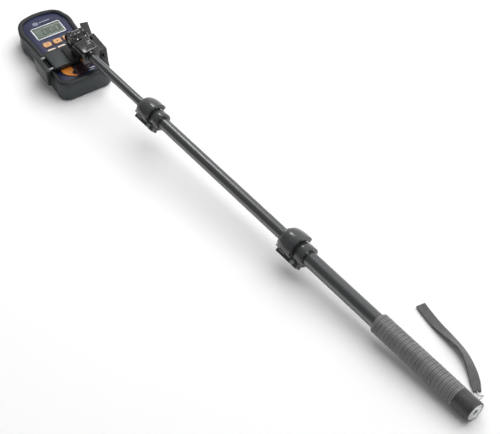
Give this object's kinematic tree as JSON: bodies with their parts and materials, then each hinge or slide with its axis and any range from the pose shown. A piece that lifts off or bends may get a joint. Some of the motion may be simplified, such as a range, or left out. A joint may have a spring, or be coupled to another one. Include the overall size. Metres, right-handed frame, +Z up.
{
  "type": "metal detector",
  "caption": "Handheld metal detector: a meter in a rubber boot, held in a spring clamp on a telescopic pole with lever locks, a ribbed grip and a wrist strap",
  "frame": {"origin": "on the meter's resting face, straight below the start of the pole's axis", "axes": "+Z up; the pole runs from the swivel towards +X and leans down to the ground; +Y is across the pole, on the strap's side"},
  "size_m": [0.8657, 0.1232, 0.0706],
  "materials": {
    "anodised_tube": "gloss black anodised",
    "grip_rubber": "ribbed, mid grey",
    "cap_plastic": "semi-gloss black",
    "insert_metal": "turned, satin",
    "lock_plastic": "semi-gloss black",
    "bush_plastic": "plain moulded",
    "steel": "zinc plated",
    "head_plastic": "moulded black",
    "clamp_plastic": "moulded black",
    "cover_plastic": "moulded dark grey",
    "pad_rubber": "soft black",
    "boot_rubber": "soft charcoal",
    "case_plastic": "moulded black",
    "label_film": "printed navy film",
    "window": "clear",
    "display": "grey-green liquid crystal",
    "board": "green laminate",
    "contact": "plated domes",
    "button_rubber": "peach orange keys",
    "dial_plastic": "orange with a dark rib",
    "rotor_plastic": "natural moulded",
    "coil_copper": "varnished copper winding",
    "battery": "plain wrapped cells",
    "webbing": "woven mid-grey webbing",
    "cord": "thin pale braided cord"
  },
  "bodies": {
    "handle": {"outer_tube": "anodised_tube", "lower_bush": "bush_plastic", "grip_sleeve": "grip_rubber", "end_cap": "cap_plastic", "end_insert": "insert_metal", "lower_collar": "lock_plastic", "lower_hinge_pin": "steel", "lower_lock_screw": "steel", "lower_lock_nut": "steel", "strap_cord": "cord", "strap_webbing": "webbing"},
    "lower_lever": {"lower_lever": "lock_plastic"},
    "middle": {"middle_tube": "anodised_tube", "middle_plug": "bush_plastic", "upper_bush": "bush_plastic", "upper_collar": "lock_plastic", "upper_hinge_pin": "steel", "upper_lock_screw": "steel", "upper_lock_nut": "steel"},
    "upper_lever": {"upper_lever": "lock_plastic"},
    "inner": {"inner_tube": "anodised_tube", "inner_plug": "bush_plastic", "pole_head": "head_plastic"},
    "swivel": {"swivel_fork": "head_plastic", "tilt_nut": "steel", "pan_screw": "steel"},
    "tilt_knob": {"thumb_wheel": "head_plastic", "tilt_bolt": "steel"},
    "clamp": {"clamp_body": "clamp_plastic", "clamp_cover": "cover_plastic", "pan_nut": "steel", "jaw_spring": "steel", "fixed_jaw": "clamp_plastic", "fixed_pad": "pad_rubber", "arm_pin": "steel", "boot": "boot_rubber", "rear_case": "case_plastic", "front_case": "case_plastic", "case_screws": "steel", "battery_cover": "case_plastic", "batteries": "battery", "face_label": "label_film", "display_window": "window", "display_module": "display", "circuit_board": "board", "button_domes": "contact", "search_coil": "coil_copper", "buzzer": "case_plastic"},
    "jaw": {"moving_jaw": "clamp_plastic", "moving_pad": "pad_rubber", "guide_rods": "steel"},
    "arm": {"locking_arm": "clamp_plastic"},
    "dial": {"dial": "dial_plastic", "dial_rotor": "rotor_plastic"},
    "button_1": {"button_1": "button_rubber"},
    "button_2": {"button_2": "button_rubber"},
    "button_3": {"button_3": "button_rubber"},
    "button_4": {"button_4": "button_rubber"},
    "button_5": {"button_5": "button_rubber"},
    "button_6": {"button_6": "button_rubber"}
  },
  "joints": [
    {"name": "middle_slide", "type": "slide", "parent": "handle", "child": "middle", "axis": [0.9982, 0, -0.0595], "range_m": [-0.015, 0.236]},
    {"name": "inner_slide", "type": "slide", "parent": "middle", "child": "inner", "axis": [0.9982, 0, -0.0595], "range_m": [-0.13, 0.112]},
    {"name": "lower_lever_open", "type": "hinge", "parent": "handle", "child": "lower_lever", "pos_m": [0.45968, -0.0156, 0.02958], "axis": [0.9982, 0, -0.0595], "range_deg": [0, 100]},
    {"name": "upper_lever_open", "type": "hinge", "parent": "middle", "child": "upper_lever", "pos_m": [0.17918, -0.0138, 0.04631], "axis": [0.9982, 0, -0.0595], "range_deg": [0, 100]},
    {"name": "tilt", "type": "hinge", "parent": "inner", "child": "swivel", "pos_m": [0.00749, 0.008, 0.05655], "axis": [0, 1, 0], "range_deg": [-5, 110]},
    {"name": "pan", "type": "hinge", "parent": "swivel", "child": "clamp", "pos_m": [0.00749, 0.008, 0.0376], "axis": [0, 0, 1], "range_deg": [-180, 180]},
    {"name": "tilt_knob_turn", "type": "hinge", "parent": "swivel", "child": "tilt_knob", "pos_m": [0.00749, 0.008, 0.05655], "axis": [0, 1, 0], "continuous": true},
    {"name": "jaw_slide", "type": "slide", "parent": "clamp", "child": "jaw", "axis": [-0.1271, -0.9919, 0], "range_m": [0, 0.024], "stiffness_N_per_m": 80, "springref_m": -0.02},
    {"name": "arm_lift", "type": "hinge", "parent": "clamp", "child": "arm", "pos_m": [-0.00537, 0.02892, 0.04], "axis": [0.3633, 0.9317, 0], "range_deg": [0, 65]},
    {"name": "dial_turn", "type": "hinge", "parent": "clamp", "child": "dial", "pos_m": [0.02154, -0.01284, 0.03], "axis": [0, 0, 1], "range_deg": [-150, 150]},
    {"name": "button_1_press", "type": "slide", "parent": "clamp", "child": "button_1", "axis": [0, 0, -1], "range_m": [0, 0.0008], "stiffness_N_per_m": 400, "springref_m": -0.001},
    {"name": "button_2_press", "type": "slide", "parent": "clamp", "child": "button_2", "axis": [0, 0, -1], "range_m": [0, 0.0008], "stiffness_N_per_m": 400, "springref_m": -0.001},
    {"name": "button_3_press", "type": "slide", "parent": "clamp", "child": "button_3", "axis": [0, 0, -1], "range_m": [0, 0.0008], "stiffness_N_per_m": 400, "springref_m": -0.001},
    {"name": "button_4_press", "type": "slide", "parent": "clamp", "child": "button_4", "axis": [0, 0, -1], "range_m": [0, 0.0008], "stiffness_N_per_m": 400, "springref_m": -0.001},
    {"name": "button_5_press", "type": "slide", "parent": "clamp", "child": "button_5", "axis": [0, 0, -1], "range_m": [0, 0.0008], "stiffness_N_per_m": 400, "springref_m": -0.001},
    {"name": "button_6_press", "type": "slide", "parent": "clamp", "child": "button_6", "axis": [0, 0, -1], "range_m": [0, 0.0008], "stiffness_N_per_m": 400, "springref_m": -0.001}
  ]
}
